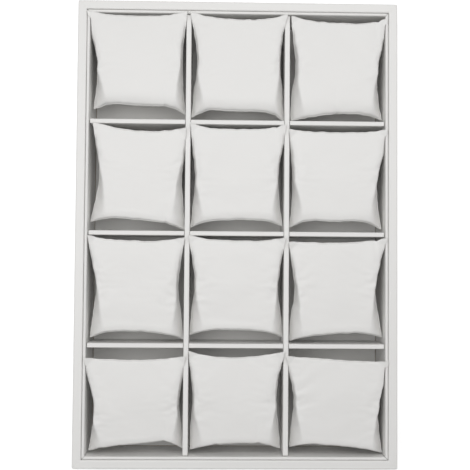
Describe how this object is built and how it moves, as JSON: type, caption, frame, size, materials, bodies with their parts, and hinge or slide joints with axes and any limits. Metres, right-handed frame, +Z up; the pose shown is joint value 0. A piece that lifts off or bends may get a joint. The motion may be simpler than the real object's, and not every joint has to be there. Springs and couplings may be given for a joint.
{
  "type": "watch storage box",
  "caption": "Open leatherette tray with interlocking dividers that make square compartments, each holding a removable watch cushion.",
  "frame": {"origin": "under the middle of the underside, on the surface that the box stands on", "axes": "+X across the three columns, +Y along the four rows towards the back, +Z up"},
  "size_m": [0.2414, 0.35, 0.0453],
  "materials": {
    "frame_leatherette": "smooth white leatherette, satin",
    "liner_leatherette": "smooth white leatherette, satin",
    "divider_leatherette": "smooth white leatherette, satin",
    "cushion_leatherette": "soft white leatherette over stuffing",
    "floor_lining": "smooth white lining card",
    "board": "plain fibreboard",
    "backing": "matt grey backing cloth"
  },
  "bodies": {
    "root": {"underside_backing": "backing", "base_board": "board", "floor_lining": "floor_lining", "rail_left": "frame_leatherette", "rail_right": "frame_leatherette", "rail_front": "frame_leatherette", "rail_back": "frame_leatherette", "liner_left": "liner_leatherette", "liner_right": "liner_leatherette", "liner_front": "liner_leatherette", "liner_back": "liner_leatherette", "long_divider_left": "divider_leatherette", "long_divider_right": "divider_leatherette", "cross_divider_front": "divider_leatherette", "cross_divider_middle": "divider_leatherette", "cross_divider_back": "divider_leatherette", "cushion_r1_c1": "cushion_leatherette", "cushion_r1_c2": "cushion_leatherette", "cushion_r1_c3": "cushion_leatherette", "cushion_r2_c1": "cushion_leatherette", "cushion_r2_c2": "cushion_leatherette", "cushion_r2_c3": "cushion_leatherette", "cushion_r3_c1": "cushion_leatherette", "cushion_r3_c2": "cushion_leatherette", "cushion_r3_c3": "cushion_leatherette", "cushion_r4_c1": "cushion_leatherette", "cushion_r4_c2": "cushion_leatherette", "cushion_r4_c3": "cushion_leatherette"}
  },
  "joints": []
}
